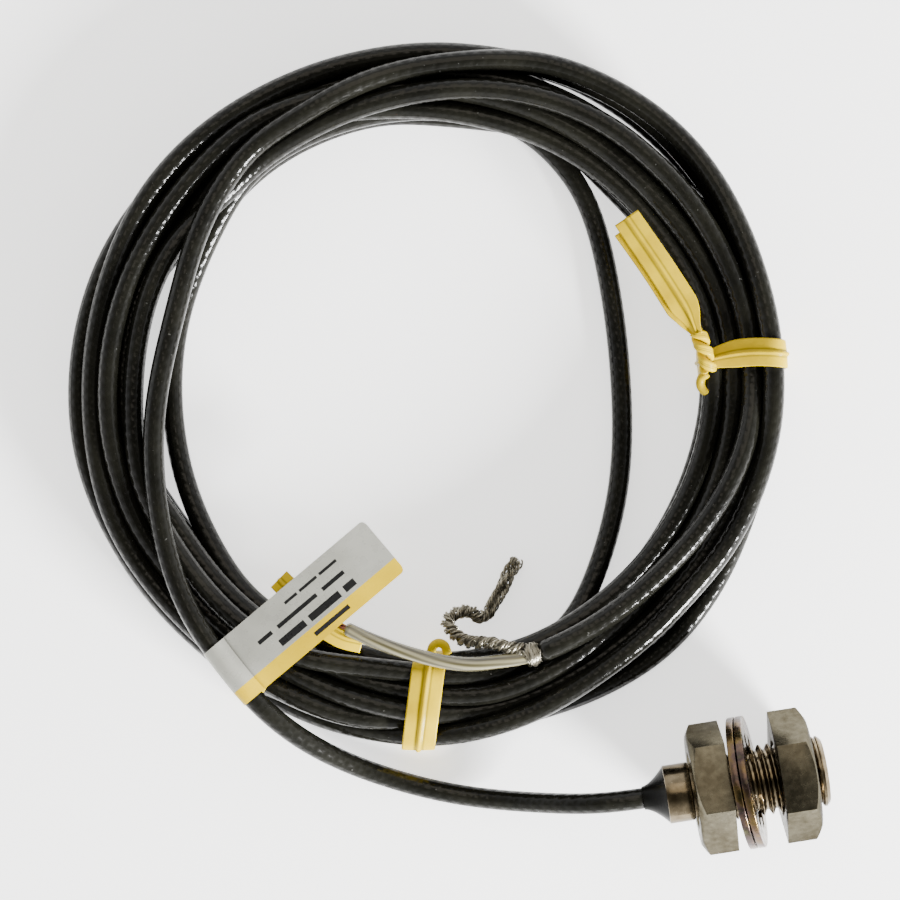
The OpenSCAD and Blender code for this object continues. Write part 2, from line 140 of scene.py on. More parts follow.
# The turns that show, as {turn: [(angle, radius in mm, height in mm), ...]}, clockwise
SEEN = {
    # on from the lead: the top strand, outermost on the right
    0: [(104, 34.4, 0), (90, 35.6, -0.3), (75, 36.8, -0.5), (61, 38.6, -0.8), (48, 40.1, -1.2),
        (32, 40.9, -1.6), (18, 40.3, -1.4), (5, 39.6, -1), (345, 39.3, -1), (330, 39.3, -1),
        (316, 39.2, -1), (308, 38.3, -0.8), (300, 37.4, -0.8), (290, 36.7, -0.6),
        (279, 36.9, -0.6), (268, 38.2, -1.4), (256, 39.4, -3)],
    # low and outermost, standing out on the left and at the lower right
    1: [(244, 40, -4.4), (232, 39.9, -5.2), (220, 39.8, -5.9), (205, 39.9, -6.3), (190, 39.9, -6.3),
        (176, 39.5, -6.3), (162, 38.9, -6.3), (148, 38.4, -6.3), (134, 38.2, -6.3), (100, 38.6, -6.3),
        (60, 39.2, -6.3), (0, 39.6, -6.3), (330, 39.6, -6.3), (313, 41, -6.3), (302, 41.1, -6.3),
        (290, 39.9, -6.3), (270, 38.6, -6.3)],
    # the outermost of the upper strands at the upper left
    8: [(240, 37.6, -2.1), (205, 36.9, -2.1), (188, 36.5, -2), (170, 36.5, -1.9), (154, 36.8, -1.9),
        (140, 37.3, -1.9), (126, 37.7, -2), (114, 37.6, -2.2), (100, 36.9, -2.6), (80, 37.2, -2.8),
        (45, 39.9, -3.6), (0, 38, -2.8), (330, 37.2, -2.6), (290, 37.2, -2.6)],
    # the innermost strand on the left, low, which becomes the slack loop and comes back up
    11: [(240, 32, -3.4), (222, 31.2, -4.4), (202, 30.3, -5.6), (181, 29.6, -6.1), (166, 29.6, -6.2),
         (155, 29.8, -6.2), (142, 30.1, -6.1), (129, 30.8, -5.4), (119, 31.5, -4.6), (108, 32, -4.1),
         (90, 32.2, -4), (284, 33.8, -3), (274, 33.9, -1.9), (262, 33.3, -0.8)],
    # an upper strand that runs into the tail
    12: [(240, 33.8, -0.4), (222, 34.2, -0.5), (205, 33.9, -0.6), (188, 33.4, -0.6),
         (172, 33.2, -0.6), (158, 33.5, -0.6), (146, 33.8, -0.6), (134, 33.4, -0.7),
         (123, 32.6, -1.2), (113, 32.5, -1.4), (104, 32.8, -1.2), (92, 33.4, -0.8), (74, 34.5, -0.4),
         (59, 35.8, -0.3), (44, 36.9, -0.3), (29, 37.2, -0.4), (17, 36.9, -0.6), (3, 36.9, -1)],
}


def smooth_curve(points, per=12):
    """A Catmull-Rom curve through the points, with this many steps between two of them."""
    p = np.asarray(points, float)
    q = np.vstack([2 * p[0] - p[1], p, 2 * p[-1] - p[-2]])
    t = np.linspace(0, 1, per, endpoint=False)[:, None]
    parts = []
    for a, b, c, d in zip(q[:-3], q[1:-2], q[2:-1], q[3:]):
        parts.append(0.5 * (2 * b + (c - a) * t + (2 * a - 5 * b + 4 * c - d) * t ** 2
                            + (3 * b - 3 * c + d - a) * t ** 3))
    return np.vstack(parts + [p[-1:]])


def distances(line):
    """How far along a line each of its points is."""
    return np.concatenate([[0], np.cumsum(np.linalg.norm(np.diff(line, axis=0), axis=1))])


def spaced(line, step):
    """The line again, with points about this far apart."""
    along = distances(line)
    at = np.linspace(0, along[-1], max(2, math.ceil(along[-1] / step) + 1))
    return np.stack([np.interp(at, along, line[:, k]) for k in range(line.shape[1])], axis=1)


def smooth_step(values):
    values = np.clip(values, 0, 1)
    return values * values * (3 - 2 * values)


def progress(turn, angle):
    return 360.0 * turn + (START - angle) % 360.0


def route_on_coil(route, turn):
    """A listed route as progress, radius and height about the coil's centre."""
    line = smooth_curve(route)
    from_centre = line[:, :2] - COIL_CENTRE
    angle = np.degrees(np.unwrap(np.arctan2(from_centre[:, 1], from_centre[:, 0])))
    first = progress(turn, angle[0] % 360)
    if turn == 0 and first > 180:
        first -= 360
    return first + angle[0] - angle, np.hypot(*from_centre.T), line[:, 2]


def wanted_coil():
    """Where each sample of the coil would lie with no thickness: progress, radius, height, fixed."""
    knots = {progress(t, a): (r, z) for t, row in SEEN.items() for a, r, z in row}
    for turn, (r, z) in enumerate(LANES, start=1):
        if turn in SEEN:
            continue
        for a in range(0, 360, 30):
            wobble = 0.25 * math.sin(math.radians(2 * a + 77 * turn))
            knots[360.0 * turn + a + 5 * turn % 30] = (r + wobble, z)
    routes = [route_on_coil(LEAD_ROUTE[LEAD_ON_COIL:], 0), route_on_coil(LOOP_ROUTE, LOOP_TURN),
              route_on_coil(TAIL_ROUTE, TURNS)]
    keys = np.array(sorted(knots))
    values = mm([knots[k] for k in keys])
    keep = np.ones(len(keys), bool)
    for at, _, _ in routes:
        keep &= (keys < at[0] - 4) | (keys > at[-1] + 4)
    kept = (keys[keep], *values[keep].T)
    all_at, all_r, all_z = (np.concatenate([k, *r]) for k, r in zip(kept, zip(*routes)))
    order = np.argsort(all_at)
    at = np.arange(0, progress(TURNS, TAIL_END), STEP)
    fixed = np.zeros(len(at), bool)
    for route_at, _, _ in routes:
        fixed |= (at >= route_at[0]) & (at <= route_at[-1])
    radius = np.interp(at, all_at[order], all_r[order])
    height = np.interp(at, all_at[order], all_z[order])
    for _ in range(6):
        radius = np.where(fixed, radius, softened(radius))
        height = np.where(fixed, height, softened(height))
    return at, radius, height, fixed


def softened(values):
    """Each value or point averaged with its two neighbours, apart from the two at the ends."""
    out = values.copy()
    out[1:-1] = 0.25 * values[:-2] + 0.5 * values[1:-1] + 0.25 * values[2:]
    return out


def coil_walls(at, fixed):
    """The least and greatest radius and height that each sample of the coil may have."""
    angle = (START - at) % 360.0
    turn = (at // 360).astype(int)
    edge = np.array(OUTER_EDGE)
    low = np.zeros(len(at))
    high = np.interp(angle, edge[:, 0], edge[:, 1]) * MM - CABLE_D / 2
    high += 0.35 * MM * np.isin(turn, (0, 1))
    diving = np.interp(angle, [225, 240, 264, 280], [0, 0.9, 0.9, 0])
    high += diving * MM * np.isin(turn, (0, 1))
    floor = np.full(len(at), FLOOR + CABLE_D / 2)
    roof = np.full(len(at), 1.0)

    def away(centre):
        return np.abs((angle - centre + 180) % 360 - 180)

    def wall(centre, half, who=True, least=-math.inf, most=math.inf, top=math.inf):
        d = away(centre)
        inside = (d < half) & ~fixed & who
        give = 0.012 * MM * np.maximum(0, d - 0.6 * half) ** 2
        low[inside] = np.maximum(low, least * MM - give)[inside]
        high[inside] = np.minimum(high, most * MM + give)[inside]
        roof[inside] = np.minimum(roof, top * MM + give)[inside]

    for name, least in (("tie_right", 32.9), ("tie_bottom", 31.7), ("tie_left", 31.7)):
        wall(TIE_ANGLES[name], 16, least=least)
        ease = smooth_step((16 - away(TIE_ANGLES[name])) / 12)
        floor = np.maximum(floor, FLOOR + CABLE_D / 2 + TIE_LIFT * ease)
    # room for the label and the core to lie on the coil
    wall(233, 17, top=0.5)
    wall(268, 18, top=-0.4)
    outer = np.isin(turn, (0, 1, 8))
    wall(46, 16, ~outer, most=36.3)
    wall(46, 16, outer, least=39.6)
    wall(304, 12, turn != 1, most=37.9)
    wall(304, 12, turn == 1, least=40.7)
    wall(286, 14, least=31.9)
    wall(168, 24, ~np.isin(turn, (0, LOOP_TURN, TURNS)), least=34.6)
    wall(104, 26, least=32.0)
    return low, high, floor, roof


def settled_coil():
    """Pushes the turns apart until they lie beside and on each other, and lets them sink."""
    at, radius0, height0, fixed = wanted_coil()
    low, high, floor, roof = coil_walls(at, fixed)
    n, per = len(at), round(360 / STEP)
    rows = -(-n // per)
    free = ~fixed

    def grid(values, fill):
        return np.concatenate([values, np.full(rows * per - n, fill)]).reshape(rows, per)

    held = grid(fixed.astype(float), 1.0)
    missing = grid(np.zeros(n), 1.0) * (1 + np.arange(rows)[:, None])
    first, second = np.triu_indices(rows, 1)
    weight_a, weight_b = 1 - held[first], 1 - held[second]
    both = np.where(weight_a + weight_b == 0, 1, weight_a + weight_b)
    radius, height = radius0.copy(), height0.copy()
    steps = 900
    for step in range(steps):
        pull = 0.02 if step < 0.5 * steps else 0.004
        radius[free] += pull * (radius0 - radius)[free]
        height[free] += pull * (height0 - height)[free]
        if step < 0.85 * steps:
            height[free] -= 0.006 * MM
        radius[free] = (radius0 + softened(radius - radius0))[free]
        height[free] = (height0 + softened(height - height0))[free]
        for _ in range(3):
            slope = np.gradient(radius) / (radius * math.radians(STEP))
            lean = grid(np.sqrt(1 + slope ** 2), 1.0)
            r, z = grid(radius, 0.0), grid(height, 0.0) + missing
            lean = np.maximum(lean[first], lean[second])
            across, up = (r[second] - r[first]) / lean, z[second] - z[first]
            apart = np.hypot(across, up) + 1e-9
            push = 0.5 * np.maximum(0, 1.002 * CABLE_D - apart) / apart / both
            for values, gap in ((radius, across), (height, up)):
                move = np.zeros_like(r)
                np.add.at(move, first, -gap * push * weight_a)
                np.add.at(move, second, gap * push * weight_b)
                values += move.reshape(-1)[:n]
            height[free] = np.clip(height, floor, roof)[free]
            radius[free] = np.clip(radius, low, high)[free]
    return at, radius, height


def cable_path():
    """The cable's whole centreline, and the coil's samples as (angle, radius, height)."""
    at, radius, height = settled_coil()
    flat = COIL_CENTRE + radius[:, None] * circle(np.radians(START - at))
    coil = np.column_stack([flat, height])
    lead = smooth_curve(LEAD_ROUTE[:LEAD_ON_COIL + 3])
    joins = int(np.linalg.norm(lead[:, :2] - coil[0, :2], axis=1).argmin())
    rough = np.vstack([lead[:joins - 2], coil, TAIL_ROUTE[-1:]])
    line = spaced(rough, 1.2 * MM)
    for _ in range(10):
        line = softened(line)
    line = smooth_curve(line, 4)
    line = np.vstack([line[0] + np.array([0.7, 0, 0]) * MM, line])
    return spaced(line, 0.8 * MM), (START - at, radius, height)


# ---- Meshes ----

def mesh_object(name, points, faces, uvs=None):
    """A mesh object. uvs gives one (u, v) for each corner of each face, in order."""
    mesh = bpy.data.meshes.new(name)
    mesh.from_pydata([tuple(p) for p in points], [], faces)
    if uvs is not None:
        layer = mesh.uv_layers.new(name="UVMap")
        layer.data.foreach_set("uv", np.asarray(uvs, np.float32).reshape(-1))
    mesh.polygons.foreach_set("use_smooth", [True] * len(mesh.polygons))
    mesh.update()
    made = bpy.data.objects.new(name, mesh)
    bpy.context.scene.collection.objects.link(made)
    return made


def unit(vectors):
    return vectors / np.linalg.norm(vectors, axis=-1, keepdims=True)


def circle(angle):
    return np.stack([np.cos(angle), np.sin(angle)], axis=1)


def wound(line, turn, out, sides, normals, flatten=1.0):
    """Points this far out from a line, at the angle turn round it."""
    return (line + (out * np.cos(turn))[:, None] * sides
            + (out * flatten * np.sin(turn))[:, None] * normals)


def frames_along(line, up=(0, 0, 1)):
    """Unit tangents, sides and normals along a line, carried along it without twist."""
    tangent = unit(np.gradient(line, axis=0))
    sides = [unit(np.cross(tangent[0], up))]
    for t in tangent[1:]:
        sides.append(unit(sides[-1] - t * (sides[-1] @ t)))
    sides = np.array(sides)
    return tangent, sides, np.cross(sides, tangent)


def sweep(line, profile, sides, normals, closed=False):
    """Points, faces and UVs of a closed profile swept along a line.

    profile is (k, 2) or (n, k, 2): how far each point lies along the side and the normal. u runs
    along the line in metres and v round the profile from 0 to 1.
    """
    n = len(line)
    profile = np.broadcast_to(profile, (n,) + profile.shape[-2:])
    k = profile.shape[1]
    points = (line[:, None, :] + profile[:, :, :1] * sides[:, None, :]
              + profile[:, :, 1:] * normals[:, None, :]).reshape(-1, 3)
    along = distances(line)
    faces, uvs = [], []
    for i in range(n if closed else n - 1):
        j = (i + 1) % n
        u0 = along[i]
        u1 = along[i + 1] if i + 1 < n else u0 + np.linalg.norm(line[0] - line[-1])
        for a in range(k):
            b = (a + 1) % k
            faces.append((i * k + a, i * k + b, j * k + b, j * k + a))
            uvs += [(u0, a / k), (u0, (a + 1) / k), (u1, (a + 1) / k), (u1, a / k)]
    if not closed:
        faces.append(tuple(range(k - 1, -1, -1)))
        uvs += [(along[0], a / k) for a in range(k - 1, -1, -1)]
        faces.append(tuple((n - 1) * k + a for a in range(k)))
        uvs += [(along[-1], a / k) for a in range(k)]
    return points, faces, uvs


def oval_profile(half_width, half_height, sides):
    return circle(np.arange(sides) / sides * TAU) * (half_width, half_height)


def across_uvs(faces, uvs, across):
    """The UVs with v taken from each profile point's own value."""
    corners = (vertex for face in faces for vertex in face)
    return [(u, across[vertex % len(across)]) for (u, _), vertex in zip(uvs, corners)]


def rounded_tube(name, line, radius, sides=16, end_round=0.3):
    """A tube with slightly rounded ends. radius may be one number or one for each point."""
    _, side, normal = frames_along(line)
    radius = np.full(len(line), radius)
    along = distances(line)
    from_end = np.minimum(along, along[-1] - along) / (end_round * radius)
    ease = np.clip(from_end, 0, 1)
    radius *= 1 - end_round + end_round * np.sqrt(1 - (1 - ease) ** 2)
    profile = oval_profile(1, 1, sides)[None] * radius[:, None, None]
    return mesh_object(name, *sweep(line, profile, side, normal))


def joined(name, parts):
    """One mesh object from several (points, faces, uvs)."""
    points, faces, uvs, base = [], [], [], 0
    for part_points, part_faces, part_uvs in parts:
        points.append(part_points)
        faces += [tuple(base + i for i in face) for face in part_faces]
        uvs += part_uvs
        base += len(part_points)
    return mesh_object(name, np.vstack(points), faces, uvs)


# ---- Materials ----

def new_material(name, base, **sockets):
    """A Principled material, with uniform values set on the shader's own sockets."""
    made = bpy.data.materials.new(name)
    made.use_nodes = True
    nodes = Nodes(made, "Principled BSDF")
    nodes.surface(Base_Color=(*base, 1), **sockets)
    return made, nodes


class Nodes:
    """Short calls for adding shader nodes to a material or a world."""

    def __init__(self, owner, shader):
        self.tree = owner.node_tree
        self.shader = self.tree.nodes[shader]

    def add(self, kind, **values):
        node = self.tree.nodes.new("ShaderNode" + kind)
        for key, value in values.items():
            setattr(node, key, value)
        return node

    def put(self, socket, value):
        """Links the socket to the value, or sets it."""
        if isinstance(value, bpy.types.NodeSocket):
            self.tree.links.new(value, socket)
        else:
            socket.default_value = value

    def fill(self, node, **sockets):
        for key, value in sockets.items():
            self.put(node.inputs[key.replace("_", " ")], value)
        return node

    def surface(self, **sockets):
        self.fill(self.shader, **sockets)

    def coordinates(self, kind="Object"):
        return self.add("TexCoord").outputs[kind]

    def math(self, operation, *values):
        node = self.add("Math", operation=operation)
        for socket, value in zip(node.inputs, values):
            self.put(socket, value)
        return node.outputs[0]

    def split(self, vector):
        return self.fill(self.add("SeparateXYZ"), Vector=vector).outputs

    def noise(self, scale, detail=3.0, roughness=0.55, vector=None, stretch=None):
        """Noise from 0 to 1. stretch scales the coordinates along each axis first."""
        source = vector or self.coordinates()
        if stretch is not None:
            source = self.fill(self.add("Mapping"), Vector=source, Scale=stretch).outputs[0]
        return self.fill(self.add("TexNoise"), Vector=source, Scale=scale, Detail=detail,
                         Roughness=roughness).outputs["Fac"]

    def ramp(self, value, *stops):
        """Colours at positions, as (position, (r, g, b)) stops."""
        node = self.fill(self.add("ValToRGB"), Fac=value)
        elements = node.color_ramp.elements
        while len(elements) < len(stops):
            elements.new(0.5)
        for element, (position, colour) in zip(elements, stops):
            element.position = position
            element.color = (*colour, 1)
        return node.outputs["Color"]

    def spread(self, value, low, high, from_low=0.3, from_high=0.7):
        """A value's middle range, mapped to another range."""
        return self.fill(self.add("MapRange"), Value=value, From_Min=from_low, From_Max=from_high,
                         To_Min=low, To_Max=high).outputs["Result"]

    def mix(self, factor, first, second, **values):
        node = self.add("Mix", data_type="RGBA", **values)
        self.put(node.inputs["Factor"], factor)
        for socket, value in ((node.inputs[6], first), (node.inputs[7], second)):
            self.put(socket, (*value, 1) if isinstance(value, tuple) else value)
        return node.outputs[2]

    def bump(self, height, distance, **below):
        """The normal of a bump, with Normal= for the one below it."""
        return self.fill(self.add("Bump"), Height=height, Distance=distance, Strength=1.0,
                         **below).outputs["Normal"]


def metal(name, dark, light, roughness, speckle=3000, bump_distance=8e-6, lines=None, glancing=1.0):
    """A plated metal: mottled colour, uneven gloss, fine grain and, if asked, turning lines.

    glancing is how bright it looks at a shallow angle, from 0 to 1.
    """
    made, nodes = new_material(name, light, Metallic=1.0,
                               Specular_Tint=(glancing, glancing, glancing, 1))
    cloud = nodes.noise(260, 4)
    grain = nodes.noise(speckle, 6, 0.65)
    mottle = nodes.math("ADD", nodes.math("MULTIPLY", cloud, 0.55),
                        nodes.math("MULTIPLY", nodes.noise(1300, 3), 0.45))
    height = grain
    if lines is not None:
        height = nodes.math("ADD", grain, nodes.noise(lines, 2, stretch=(1, 0.02, 0.02)))
    nodes.surface(Base_Color=nodes.ramp(mottle, (0.36, dark), (0.64, light)),
                  Roughness=nodes.spread(grain, *roughness), Normal=nodes.bump(height, bump_distance))
    return made


def nickel():
    return metal("plated_case", (0.09, 0.07, 0.042), (0.20, 0.162, 0.105), (0.14, 0.28), 2600, 5e-6,
                 lines=9000, glancing=0.75)


def nut_plating():
    return metal("plated_nut", (0.062, 0.054, 0.037), (0.122, 0.111, 0.08), (0.2, 0.32), 1500, 5e-6,
                 glancing=0.45)


def yellow_chromate():
    """Zinc with a yellow passivation, whose thin film turns from gold to pink and green."""
    made, nodes = new_material("yellow_chromate", (0.5, 0.4, 0.25), Metallic=1.0)
    film = nodes.noise(420, 3)
    colour = nodes.ramp(film, (0.28, (0.034, 0.034, 0.018)), (0.42, (0.13, 0.088, 0.036)),
                        (0.52, (0.105, 0.07, 0.055)), (0.62, (0.052, 0.037, 0.036)),
                        (0.75, (0.085, 0.082, 0.042)))
    nodes.surface(Base_Color=colour, Roughness=nodes.spread(nodes.noise(1800, 4), 0.16, 0.34),
                  Normal=nodes.bump(nodes.noise(2600, 5), 6e-6))
    return made


def jacket():
    """Black satin plastic, with the braid's fine diamond pattern showing and a little dust."""
    made, nodes = new_material("cable_jacket", (0.006, 0.006, 0.005), Roughness=0.25,
                               Specular_IOR_Level=0.19)
    diamond_length, diamonds_round = 1.45 * MM, 6
    u, v, _ = nodes.split(nodes.coordinates("UV"))
    along = nodes.math("MULTIPLY", u, TAU / diamond_length)
    around = nodes.math("MULTIPLY", v, TAU * diamonds_round)
    right_hand = nodes.math("SINE", nodes.math("ADD", along, around))
    left_hand = nodes.math("SINE", nodes.math("SUBTRACT", along, around))
    imprint = nodes.math("MAXIMUM", right_hand, left_hand)
    wander = nodes.noise(900, 3, 0.6)
    tone = nodes.ramp(nodes.noise(150, 4, 0.6), (0.3, (0.003, 0.003, 0.0024)),
                      (0.7, (0.009, 0.0088, 0.0064)))
    dust = nodes.ramp(nodes.noise(2600, 2, 0.4), (0.745, (0, 0, 0)), (0.79, (0.3, 0.3, 0.3)))
    lengthwise = nodes.noise(34, 2, vector=nodes.coordinates("UV"), stretch=(1.5, 1, 1))
    fine = nodes.bump(lengthwise, 2e-5)
    uneven = nodes.bump(wander, 1.6e-5, Normal=fine)
    nodes.surface(Base_Color=nodes.mix(dust, tone, (0.16, 0.16, 0.15)),
                  Roughness=nodes.spread(wander, 0.13, 0.23),
                  Normal=nodes.bump(imprint, 1.35e-5, Normal=uneven))
    return made


def plastic(name, base, roughness=(0.3, 0.5), mottle=0.12, scale=500, bump_distance=8e-6, **sockets):
    """Moulded plastic or rubber: slight mottling and a fine uneven skin."""
    made, nodes = new_material(name, base, **sockets)
    darker = tuple(c * (1 - mottle) for c in base)
    lighter = tuple(min(1, c * (1 + mottle)) for c in base)
    nodes.surface(Base_Color=nodes.ramp(nodes.noise(scale, 4), (0.3, darker), (0.7, lighter)),
                  Roughness=nodes.spread(nodes.noise(scale * 3, 4), *roughness),
                  Normal=nodes.bump(nodes.noise(scale * 6, 4), bump_distance))
    return made


def set_material(piece, material):
    piece.data.materials.clear()
    piece.data.materials.append(material)
    return piece


def in_place_of(piece, *nodes):
    """The piece rides on the sensor's body and stands for these CAD nodes."""
    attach(piece, "sensor")
    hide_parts(*nodes)
    return piece


# ---- The cable and what is on it ----

def make_cable(line):
    return set_material(rounded_tube("cable", line, CABLE_D / 2), jacket())


def make_core():
    """The clear core insulation, with the conductor's strands showing through it."""
    made, nodes = new_material("clear_insulation", (0.62, 0.58, 0.44), Roughness=0.22,
                               Coat_Weight=0.6, Coat_Roughness=0.12)
    pitch, wires = 9 * MM, 7
    u, v, _ = nodes.split(nodes.coordinates("UV"))
    strands = nodes.math("SINE", nodes.math("ADD", nodes.math("MULTIPLY", u, TAU / pitch),
                                            nodes.math("MULTIPLY", v, TAU * wires)))
    colour = nodes.ramp(nodes.spread(strands, 0, 1, -1, 1), (0.1, (0.06, 0.053, 0.026)),
                        (0.5, (0.12, 0.108, 0.06)), (0.9, (0.20, 0.183, 0.11)))
    nodes.surface(Base_Color=colour, Normal=nodes.bump(nodes.noise(1500, 3), 1e-5))
    line = spaced(smooth_curve(CORE_ROUTE), 0.3 * MM)
    return set_material(rounded_tube("core", line, 0.8 * MM, 20), made)


def make_conductor():
    """The bare tip of the stranded conductor: seven wires twisted together."""
    made = metal("old_copper", (0.20, 0.06, 0.04), (0.42, 0.18, 0.12), (0.3, 0.5))
    tip = mm([(-50.4, 24.05, 1.92), (-51, 24.4, 1.9), (-51.7, 25, 1.85), (-52.2, 25.5, 1.7)])
    line = spaced(smooth_curve(tip), 0.08 * MM)
    parts = twisted_wires(line, 7, 0.09 * MM, 0.17 * MM, 4.5 * MM)
    return set_material(joined("conductor_tip", parts), made)


def twisted_wires(line, count, wire_r, ring_r, pitch, seed=0):
    """Wires twisted round a line. ring_r may be one number or one for each point."""
    random = np.random.default_rng(seed)
    _, side, normal = frames_along(line)
    along = distances(line)
    parts = []
    for i in range(count):
        phase = TAU * i / count + random.uniform(-0.2, 0.2)
        turn = TAU * along / pitch + phase + 0.5 * np.sin(along / pitch * 2.1 + phase * 3)
        out = ring_r * (1 + 0.15 * np.sin(along / pitch * 5 + 4 * phase))
        wire = wound(line, turn, out, side, normal)
        wire[:, 2] = np.maximum(wire[:, 2], FLOOR + wire_r)
        _, sides, normals = frames_along(wire)
        parts.append(sweep(wire, oval_profile(wire_r, wire_r, 5), sides, normals))
    return parts


def tinned_copper():
    return metal("tinned_braid", (0.075, 0.066, 0.045), (0.40, 0.37, 0.29), (0.2, 0.42), 3000, 5e-6)


def make_braid(material):
    """The cable's braid, twisted to a pigtail of three plies of fine wires, opening at its end."""
    line = spaced(smooth_curve(BRAID_ROUTE), 0.12 * MM)
    along = np.linspace(0, 1, len(line))
    open_end = np.clip((along - 0.72) / 0.28, 0, 1)
    ply_ring = (0.48 + 0.30 * open_end) * MM
    flatten = 1 - 0.55 * open_end
    _, side, normal = frames_along(line)
    distance = along * distances(line)[-1]
    ply_pitch, wire_pitch, wire_r = 3.6 * MM, 2.6 * MM, 0.078 * MM
    parts = []
    for ply in range(3):
        turn = TAU * distance / ply_pitch * (1 - 0.35 * open_end) + TAU * ply / 3
        centre = wound(line, turn, ply_ring, side, normal, flatten)
        ring = (0.27 + 0.16 * open_end) * MM
        parts += twisted_wires(centre, 9, wire_r, ring, wire_pitch, seed=ply + 1)
        parts += twisted_wires(centre, 3, wire_r, 0.4 * ring, wire_pitch, seed=ply + 11)
    return set_material(joined("pigtail_wires", parts), material)


def make_collar(material):
    """The braid's wires gathered round the core where the jacket ends, in crossing turns."""
    random = np.random.default_rng(5)
    start, end = mm([(-29.6, 18.25, 1.75), (-31.7, 18.1, 1.82)])
    length = np.linalg.norm(end - start)
    axis = unit(end - start)
    side = unit(np.cross(axis, (0, 0, 1)))
    up = np.cross(side, axis)
    wires, wire_r = 34, 0.07 * MM
    parts = []
    for i in range(wires):
        turns = random.uniform(0.5, 1.1) * random.choice((-1, 1))
        t = np.linspace(0, 1, 26)
        angle = TAU * (turns * t + i / wires)
        from_end = random.uniform(0, 0.35) * (1 - t) + random.uniform(0.55, 1) * t
        bulge = 0.28 * MM * np.sin(math.pi * t) + random.uniform(0.0, 0.16) * MM
        radius = 0.92 * MM + bulge
        wire = wound(start + np.outer(from_end * length, axis), angle, radius, side, up)
        _, sides, normals = frames_along(wire, up=axis)
        parts.append(sweep(wire, oval_profile(wire_r, wire_r, 5), sides, normals))
    return set_material(joined("braid_collar_wires", parts), material)


LABEL_AT = mm([-64.5, 21.3, 2.1])
LABEL_ANGLE = math.radians(31.2)
LABEL_W = 7.4 * MM
LABEL_LEN = 22.6 * MM
LABEL_T = 0.12 * MM
FLAG_START = 1.7 * MM
STRIPE_W = 1.85
# Rows of plain bars in mm: middle and half thickness across the label, start and end along it,
# and the length of one bar with its gap
BARS = [(1.0, 0.26, 9.5, 15.2, 9.0), (2.75, 0.42, 6.5, 17.5, 5.1),
        (4.35, 0.24, 4.6, 17.2, 6.6), (5.9, 0.17, 9.8, 17.6, 2.9)]


def label_material():
    """Silver film with a yellow stripe, and plain bars where print would be."""
    made, nodes = new_material("label_film", (0.4, 0.4, 0.36), Roughness=0.38,
                               Specular_IOR_Level=0.2)
    # u is the distance from the fold and v the distance from the striped edge, in millimetres
    u, v, _ = nodes.split(nodes.coordinates("UV"))
    soft = nodes.noise(180, 3)
    silver = nodes.ramp(soft, (0.3, (0.27, 0.27, 0.235)), (0.7, (0.36, 0.36, 0.32)))
    yellow = nodes.ramp(soft, (0.3, (0.45, 0.30, 0.0)), (0.7, (0.56, 0.385, 0.0)))
    stripe = nodes.math("LESS_THAN", v, STRIPE_W)
    colour = nodes.mix(stripe, silver, yellow)
    for centre, half, first, last, word in BARS:
        off = nodes.math("ABSOLUTE", nodes.math("SUBTRACT", v, centre))
        across = nodes.math("LESS_THAN", off, half)
        inside = nodes.math("MULTIPLY", nodes.math("GREATER_THAN", u, first),
                            nodes.math("LESS_THAN", u, last))
        gaps = nodes.math("GREATER_THAN", nodes.math("FRACT", nodes.math("DIVIDE", u, word)), 0.13)
        bar = nodes.math("MULTIPLY", nodes.math("MULTIPLY", across, inside), gaps)
        colour = nodes.mix(bar, colour, (0.012, 0.012, 0.012))
    nodes.surface(Base_Color=colour, Roughness=nodes.spread(nodes.noise(700, 4), 0.22, 0.36),
                  Normal=nodes.bump(nodes.noise(260, 3), 3e-5),
                  Metallic=nodes.math("MULTIPLY", nodes.math("SUBTRACT", 1.0, stripe), 0.3))
    return made


def label_line():
    """The film's middle line in the plane across the cable: along the flag's underside to its
    end, back along its top, under and round the cable, and over it to lap on the flag."""
    radius = CABLE_D / 2 + LABEL_T * 0.6
    t = np.linspace(0, 1, 60)
    plane = 0.25 * MM + 0.45 * MM * np.sin(math.pi * t ** 1.2) + 0.25 * MM * t ** 3
    flag = FLAG_START + (LABEL_LEN - FLAG_START) * t
    low = np.stack([flag[::-1], plane[::-1]], axis=1)
    angle = np.linspace(math.radians(-22), math.radians(-318), 60)
    wrap = radius * circle(angle)
    lap = mm(np.stack([np.linspace(1.25, 1.7, 6), np.linspace(0.62, 0.47, 6)], axis=1))
    line = spaced(np.vstack([low, wrap, lap]), 0.15 * MM)
    for _ in range(8):
        line = softened(line)
    return line


